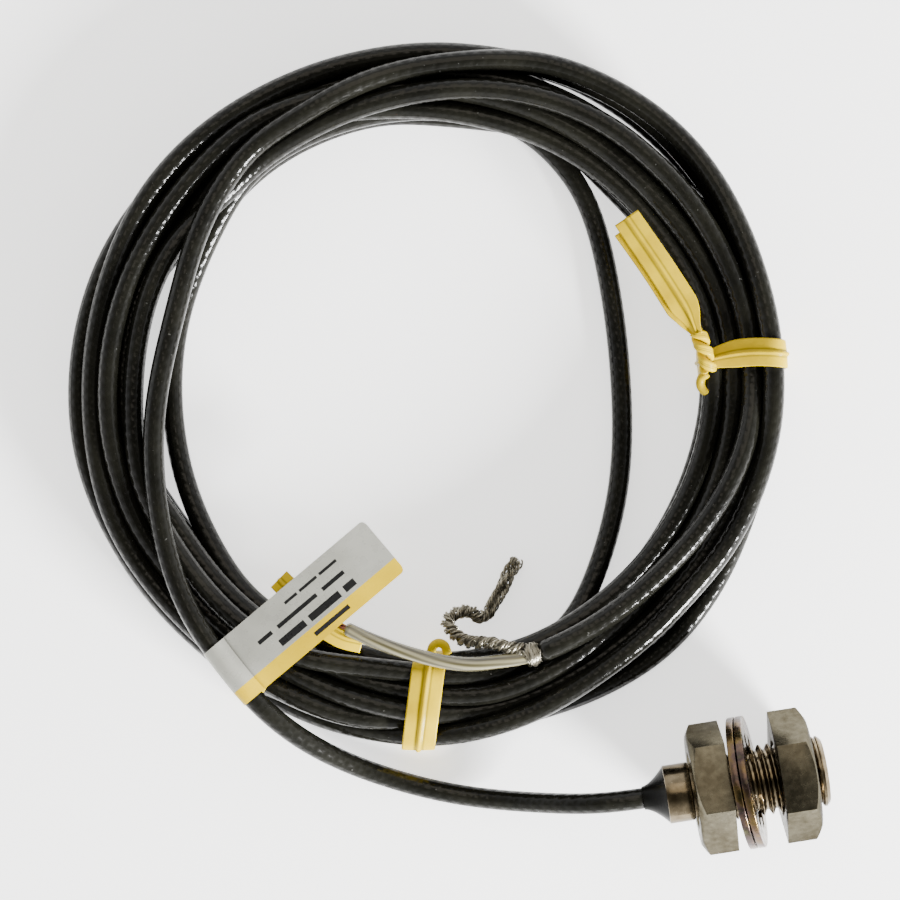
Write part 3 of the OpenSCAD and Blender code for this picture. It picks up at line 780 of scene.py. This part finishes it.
def build_label(cable_line):
    """The label as a closed sheet that follows the cable, with its UVs in millimetres."""
    line = label_line()
    n, rows = len(line), 21
    step = unit(np.gradient(line, axis=0))
    out = np.stack([-step[:, 1], step[:, 0]], axis=1)
    corner = 0.6 * MM
    cos_a, sin_a = math.cos(LABEL_ANGLE), math.sin(LABEL_ANGLE)
    nearest = np.linalg.norm(cable_line - LABEL_AT, axis=1).argmin()
    lead = cable_line[max(0, nearest - 20):nearest + 20] - LABEL_AT
    lead_x = lead[:, 0] * cos_a + lead[:, 1] * sin_a
    lead_y = lead[:, 1] * cos_a - lead[:, 0] * sin_a
    points, flat = [], []
    for layer in (0.5, -0.5):
        for (x, z), (ox, oz) in zip(line, out):
            past = min(corner, max(0, x - (LABEL_LEN - corner)))
            inset = corner - math.sqrt(corner ** 2 - past ** 2)
            for w in np.linspace(-0.5, 0.5, rows):
                y = w * (LABEL_W - 2 * inset)
                follow = min(1, max(0, (5 * MM - x) / (3.2 * MM)))
                px = x + layer * LABEL_T * ox + follow * np.interp(y, lead_y, lead_x)
                pz = z + layer * LABEL_T * oz + follow * np.interp(y, lead_y, lead[:, 2])
                points.append((LABEL_AT[0] + px * cos_a - y * sin_a,
                               LABEL_AT[1] + px * sin_a + y * cos_a, LABEL_AT[2] + pz))
                flat.append((x / MM, (y + LABEL_W / 2) / MM))
    base = n * rows
    faces = []
    for first in range(0, base - rows, rows):
        last = first + rows - 1
        for a in range(first, last):
            b, c, d = a + 1, a + 1 + rows, a + rows
            faces += [(a, d, c, b), (base + a, base + b, base + c, base + d)]
        faces += [(first, base + first, base + first + rows, first + rows),
                  (last + rows, base + last + rows, base + last, last)]
    faces += [(a, a + 1, base + a + 1, base + a) for a in range(rows - 1)]
    faces += [(a + 1, a, base + a, base + a + 1) for a in range(base - rows, base - 1)]
    made = mesh_object("label", points, faces, [flat[k] for face in faces for k in face])
    sharpen(made, 50)
    return set_material(made, label_material())


# ---- Wire ties ----

TIE_W = 3.2 * MM
TIE_T = 0.26 * MM
# A folded end has the colour found this far across the strip, inside the painted shade beside the rib, so
# that it is painted darker for the shade on the small knob
LOOP_END_SHADE_V = 0.31


def tie_material():
    """Glossy yellow plastic, with painted shade beside the rib and at its edges."""
    made, nodes = new_material("tie_plastic", (0.6, 0.4, 0.0), Roughness=0.34,
                               Specular_IOR_Level=0.12)
    # v is the distance from the strip's middle line, from -1 to 1
    side = nodes.math("ABSOLUTE", nodes.split(nodes.coordinates("UV"))[1])
    tone = nodes.noise(300, 3)
    colour = nodes.ramp(tone, (0.3, (0.47, 0.32, 0.0)), (0.7, (0.62, 0.44, 0.0)))
    # painted shade: the colour is multiplied darker beside the rib and at the strip's edges, where shade
    # falls
    groove_shade = nodes.ramp(side, (0.0, (1, 1, 1)), (0.14, (0.8, 0.8, 0.8)), (0.24, (0.45, 0.47, 0.3)),
                        (0.36, (1, 1, 1)), (0.92, (1, 1, 1)), (1.0, (0.75, 0.75, 0.6)))
    nodes.surface(Base_Color=nodes.mix(1.0, colour, groove_shade, blend_type="MULTIPLY"),
                  Roughness=nodes.spread(nodes.noise(900, 4), 0.26, 0.44),
                  Normal=nodes.bump(nodes.noise(700, 4), 2.5e-5))
    return made


def strip_profile(width=TIE_W, curl=0.0):
    """The strip's cross-section and the v of each of its points, from the edge to the rib."""
    half = width / 2
    top = [(-1, 0.0), (-0.97, 0.4), (-0.9, 0.5), (-0.27, 0.5), (-0.17, 0.6), (-0.1, 1.25), (0, 1.5)]
    top = top + [(-x, z) for x, z in reversed(top[:-1])]
    low = [(0.9, -0.5), (0.3, -0.5), (0.15, -0.9), (-0.15, -0.9), (-0.3, -0.5), (-0.9, -0.5)]
    points = [(x * half, z * TIE_T + curl * (x * x) * MM) for x, z in top + low]
    across = [x for x, _ in top + low]
    return np.array(points), np.array(across)


def ribbon(line, sides, normals, width=TIE_W, curl=0.0, closed=False, shape=None):
    """A strip swept along a line, as (points, faces, uvs) with v across the strip."""
    profile, across = strip_profile(width, curl)
    if shape is not None:
        profile = profile[None] * shape[:, None, :]
    points, faces, uvs = sweep(line, profile, sides, normals, closed)
    return points, faces, across_uvs(faces, uvs, across)


def bundle_outline(coil, tie_angle, grow):
    """The line that a tie follows round the turns at an angle, as (radius, height) points."""
    angle, radius, height = coil
    near = np.abs((angle - tie_angle + 180) % 360 - 180) < TIE_REACH
    near &= (radius > SLACK_RADIUS) & (angle < START - LEAD_FREE)
    centres = np.stack([radius[near], height[near]], axis=1)
    facing = circle(np.linspace(0, TAU, 240, endpoint=False))
    touched = centres[(facing @ centres.T).argmax(axis=1)]
    outline = touched + facing * (CABLE_D / 2 + grow)
    outline = spaced(np.vstack([outline, outline[:1]]), 0.3 * MM)[:-1]
    for _ in range(6):
        before, after = np.roll(outline, 1, axis=0), np.roll(outline, -1, axis=0)
        outline = 0.25 * before + 0.5 * outline + 0.25 * after
    return outline


def tie_band(coil, tie_angle, skew=0.0, bow=0.0, width=TIE_W, pinch=1.0):
    """The closed band round the bundle.

    It leans along the coil by skew, bows along it by bow, and its top is pinched to this share of
    its width at the inner side, where the twist is.
    """
    outline = bundle_outline(coil, tie_angle, TIE_T * 0.9)
    a = math.radians(tie_angle)
    radial = np.array([math.cos(a), math.sin(a), 0])
    along = np.array([-math.sin(a), math.cos(a), 0])
    low, high = outline.min(axis=0), outline.max(axis=0)
    across = (outline[:, :1] - low[0]) / (high[0] - low[0])
    top = np.clip((outline[:, 1:] - low[1]) / (high[1] - low[1]) * 2 - 0.6, 0, 1)
    drift = (across - 0.5) * skew * (high[0] - low[0]) + bow * top * np.sin(math.pi * across)
    line = ((*COIL_CENTRE, 0) + outline[:, :1] * radial + outline[:, 1:] * (0, 0, 1)
            + drift * along)
    step = unit(np.roll(line, -1, axis=0) - np.roll(line, 1, axis=0))
    sides = unit(along - step * (step @ along)[:, None])
    normals = np.cross(step, sides)
    outward = ((line - line.mean(axis=0)) * normals).sum()
    if outward < 0:
        sides, normals = -sides, -normals
    near_twist = np.clip(1 - across[:, 0] / 0.45, 0, 1) ** 1.5 * top[:, 0]
    shape = np.stack([1 - (1 - pinch) * near_twist, np.ones(len(line))], axis=1)
    return ribbon(line, sides, normals, width=width, curl=-0.05, closed=True, shape=shape)


def twisted_pair(points, turns):
    """The tie's two ends, crumpled and twisted round each other along points."""
    thick, corners = 0.95 * MM, 16
    oval = oval_profile(0.75 * MM, thick / 2, corners)
    across = 0.9 * oval_profile(1, 1, corners)[:, 0]
    line = spaced(smooth_curve(mm(points)), 0.1 * MM)
    tangent, side, normal = frames_along(line)
    t = np.linspace(0, 1, len(line))
    parts = []
    for half in (0, 1):
        turn = TAU * turns * t + math.pi * half
        out = wound(0, turn, 1, side, normal)
        level = np.cross(tangent, out)
        swell = 1 + 0.1 * np.sin(9 * t + 2 * half)
        profile = oval[None] * swell[:, None, None]
        made, faces, uvs = sweep(line + thick / 2 * out, profile, level, out)
        parts.append((made, faces, across_uvs(faces, uvs, across)))
    return parts


def loop_end(points):
    """A small folded end of the tie, as an oval bar along points."""
    line = spaced(smooth_curve(mm(points)), 0.1 * MM)
    _, side, normal = frames_along(line)
    made, faces, uvs = sweep(line, oval_profile(0.52 * MM, 0.6 * MM, 14), side, normal)
    # painted shade: the folded end takes the darkened colour of the strip's painted groove shade
    return made, faces, [(u, LOOP_END_SHADE_V) for u, _ in uvs]


def flat_tail(points, width, roll, curl=0.0):
    """A flat end of the tie along points, narrow and turned about its length where it starts."""
    start, widest, taper = 0.4, 1.06, 0.06
    line = spaced(smooth_curve(mm(points)), 0.2 * MM)
    _, side, normal = frames_along(line)
    t = np.linspace(0, 1, len(line))
    angle = roll * np.clip(1 - t / 0.35, 0, 1) ** 2
    c, s = np.cos(angle)[:, None], np.sin(angle)[:, None]
    side, normal = c * side + s * normal, c * normal - s * side
    grow = smooth_step(t / 0.26)
    grow = start + (widest - start) * grow - taper * t
    shape = np.stack([grow, np.ones_like(grow)], axis=1)
    return ribbon(line, side, normal, width=width, curl=curl, shape=shape)


def make_ties(coil, material):
    """The three ties: a band round the bundle, the twist and the two flat ends."""
    right = [
        tie_band(coil, TIE_ANGLES["tie_right"], bow=0.6 * MM, pinch=0.45),
        *twisted_pair([(-6.0, 46.7, 0.9), (-6.05, 48.2, 1.5), (-6.3, 49.8, 1.9), (-6.7, 51.2, 2.1)], 1.3),
        flat_tail([(-6.6, 50.9, 2.6), (-7.0, 52.3, 2.75), (-7.6, 54.2, 2.8), (-9.7, 59.1, 2.6),
                   (-12.5, 65.1, 2.1)], 3.15 * MM, 0.7, 0.05),
        flat_tail([(-6.8, 51.0, 2.0), (-7.5, 52.4, 2.15), (-8.1, 54.1, 2.2), (-10.2, 58.9, 2.1),
                   (-12.7, 64.0, 1.65)], 3.15 * MM, -0.5, 0.05),
        loop_end([(-6.2, 46.4, 0.1), (-6.8, 46.0, -0.3), (-7.0, 45.3, -0.6), (-6.7, 44.6, -0.8),
                  (-6.0, 44.4, -0.9)])]
    bottom = [
        tie_band(coil, TIE_ANGLES["tie_bottom"], skew=-0.13, width=3.8 * MM),
        loop_end([(-42.0, 19.6, 0.2), (-41.7, 20.6, 0.35), (-41.0, 21.0, 0.35),
                  (-40.3, 20.6, 0.35), (-40.1, 19.6, 0.2)])]
    left = [
        tie_band(coil, TIE_ANGLES["tie_left"]),
        *twisted_pair([(-57.9, 25.4, 0.9), (-57, 26.2, 1.3), (-55.9, 27, 1.5)], 0.8),
        flat_tail([(-54.6, 27.2, 1.5), (-55.6, 28.5, 1.7), (-57.0, 30.2, 1.6), (-57.6, 31.0, 1.4)],
                  2.6 * MM, 0.3),
        flat_tail([(-55.9, 27, 1.3), (-53.6, 25.2, 1.3), (-51.6, 23.5, 1.05), (-49.4, 22.5, 0.7)],
                  2.7 * MM, 0.3)]
    return [in_place_of(set_material(joined(name + "_strip", parts), material),
                        name, name + "_wire")
            for name, parts in (("tie_right", right), ("tie_bottom", bottom), ("tie_left", left))]


# ---- The case ----

def make_case(material):
    """The turned case with its helical thread, closed from rim to rim."""
    crest, pitch, depth = 4.0 * MM, 1.0 * MM, 0.6134 * MM
    thread_end, collar_x, case_len = 14.6 * MM, 15.3 * MM, 18.2 * MM
    relief, collar = 3.1 * MM, 3.3 * MM
    bore, rear_bore, step_x = crest - depth - 0.49 * MM, 2.4 * MM, 14 * MM
    columns = 120
    theta = np.arange(columns) / columns * TAU
    rows = []
    relief_stations = [14.8, 14.9, 15.05, 15.15, 15.2, 15.24]
    for x in mm(np.concatenate([np.arange(0.0, 14.75, 0.045), relief_stations])):
        phase = (-x / pitch - theta / TAU) % 1.0
        ramp = np.abs(phase - 0.5) * 2
        shape = np.clip((ramp - 0.25) / 0.625, 0, 1)
        shape = 1 - (1 - shape) * np.clip((x / MM - 0.55) / 0.45, 0, 1)
        fade = np.clip((thread_end + 0.1 * MM - x) / (0.5 * MM), 0, 1)
        radius = crest - depth + depth * shape
        radius = np.minimum(radius, relief + (crest - relief) * fade)
        radius = np.minimum(radius, crest - 0.4 * MM + x)
        rows.append((-x, radius))
    for x, radius in ((collar_x, collar - 0.1 * MM), (collar_x + 0.03 * MM, collar - 0.03 * MM),
                      (collar_x + 0.1 * MM, collar), (case_len - 0.15 * MM, collar),
                      (case_len - 0.05 * MM, collar - 0.04 * MM), (case_len, collar - 0.14 * MM),
                      (case_len, rear_bore + 0.05 * MM), (case_len - 0.05 * MM, rear_bore),
                      (step_x, rear_bore), (step_x, bore), (0.1 * MM, bore), (0, bore + 0.08 * MM)):
        rows.append((-x, radius))
    points = np.vstack([np.stack(np.broadcast_arrays(x, *(r * circle(theta).T)), axis=1)
                        for x, r in rows])
    grid = np.arange(len(points)).reshape(len(rows), columns)
    across = np.roll(grid, -1, axis=1)
    faces = np.stack([grid, across, np.roll(across, -1, axis=0), np.roll(grid, -1, axis=0)], axis=2)
    faces = faces.reshape(-1, 4).tolist()
    made = mesh_object("case", points, faces)
    sharpen(made, 35)
    in_place_of(set_material(made, material), "threaded_case")


def sharpen(piece, degrees):
    """Smooth shading that breaks at edges sharper than this."""
    bpy.context.view_layer.objects.active = piece
    piece.select_set(True)
    bpy.ops.object.shade_smooth_by_angle(angle=math.radians(degrees))
    piece.select_set(False)


def soften_edges(piece, width):
    """Rounds a CAD node's edges with modifiers, so that they catch the light."""
    weld = piece.modifiers.new("weld", "WELD")
    weld.merge_threshold = 1e-6
    bevel = piece.modifiers.new("bevel", "BEVEL")
    bevel.width = width
    bevel.segments = 3
    bevel.angle_limit = math.radians(30)
    bevel.harden_normals = True


# ---- Floor and light ----

def make_floor():
    corners = [(x, y, FLOOR) for x, y in ((-3, -3), (3, -3), (3, 3), (-3, 3))]
    floor = mesh_object("floor", corners, [(0, 1, 2, 3)])
    made, _ = new_material("floor", (0.9, 0.9, 0.9), Roughness=0.9, Emission_Color=(1, 1, 1, 1),
                           Emission_Strength=1.35)
    floor.data.materials.append(made)


def area_light(name, place, target, size, power, colour=(1, 1, 1)):
    data = bpy.data.lights.new(name, "AREA")
    data.size = size
    data.energy = power
    data.color = colour
    light = bpy.data.objects.new(name, data)
    light.location = place
    light.rotation_euler = (Vector(target) - Vector(place)).to_track_quat("-Z", "Y").to_euler()
    bpy.context.scene.collection.objects.link(light)


def make_lights():
    """A dark ceiling over a pale horizon, with a low bright window at the lower right."""
    world = bpy.data.worlds.new("world")
    bpy.context.scene.world = world
    world.use_nodes = True
    nodes = Nodes(world, "Background")
    _, _, height = nodes.split(nodes.coordinates("Generated"))
    sky = nodes.ramp(height, (0.0, (0.9, 0.9, 0.9)), (0.30, (0.85, 0.85, 0.85)),
                     (0.55, (0.6, 0.6, 0.6)), (0.80, (0.26, 0.257, 0.24)), (0.93, (0.10, 0.098, 0.085)),
                     (1.0, (0.07, 0.068, 0.058)))
    nodes.surface(Color=sky, Strength=2.4)
    middle = (-0.036, 0.042, 0)
    area_light("window", (0.34, -0.42, 0.2), middle, 0.15, 25)
    area_light("warm_wall", (0.03, 0.46, 0.85), middle, 0.62, 2.3, (1, 0.9, 0.76))


make_camera()
cable_line, coil_samples = cable_path()
cable = in_place_of(make_cable(cable_line), "cable_lead", "cable_coil", "cable_loop", "cable_tail")
core = in_place_of(make_core(), "core_insulation")
conductor = in_place_of(make_conductor(), "centre_conductor")
tinned = tinned_copper()
pigtail = in_place_of(make_braid(tinned), "braid_pigtail")
collar_wires = in_place_of(make_collar(tinned), "braid_collar")
label = in_place_of(build_label(cable_line), "cable_label")
ties = make_ties(coil_samples, tie_material())

make_case(nickel())
for names, material, edge in ((("front_nut", "rear_nut"), nut_plating(), 0.22 * MM),
                              (("front_lock_washer", "rear_lock_washer"), yellow_chromate(), 0.09 * MM)):
    for name in names:
        set_material(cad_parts[name], material)
        soften_edges(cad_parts[name], edge)
COPPER = (0.5, 0.2, 0.08), (0.75, 0.35, 0.16), (0.2, 0.35)
for name, material in {
    "strain_relief": plastic("boot_rubber", (0.004, 0.004, 0.0036), (0.18, 0.26),
                             Specular_IOR_Level=0.07),
    "sensing_cap": plastic("cap_plastic", (0.40, 0.38, 0.32), (0.3, 0.5), 0.2, 300, 1.5e-5),
    "ferrite_core": plastic("ferrite", (0.03, 0.03, 0.035), (0.5, 0.7)),
    "coil_bobbin": plastic("bobbin_plastic", (0.8, 0.78, 0.7)),
    "coil_winding": metal("winding_copper", *COPPER),
    "coil_leads": metal("lead_copper", *COPPER),
    "solder_joints": metal("solder", (0.5, 0.5, 0.48), (0.75, 0.75, 0.72), (0.15, 0.3)),
    "potting_resin": plastic("resin", (0.02, 0.02, 0.02), (0.1, 0.2)),
    "cable_clamp_ring": metal("clamp_aluminium", (0.5, 0.5, 0.48), (0.7, 0.7, 0.68), (0.25, 0.4)),
    "inlet_conductor": metal("inlet_copper", (0.3, 0.1, 0.06), (0.5, 0.2, 0.12), (0.3, 0.4)),
    "inlet_insulation": plastic("inlet_insulation", (0.6, 0.57, 0.45)),
    "inlet_braid": tinned,
    "inlet_jacket": plastic("inlet_jacket", (0.015, 0.015, 0.014)),
}.items():
    set_material(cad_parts[name], material)

make_floor()
make_lights()
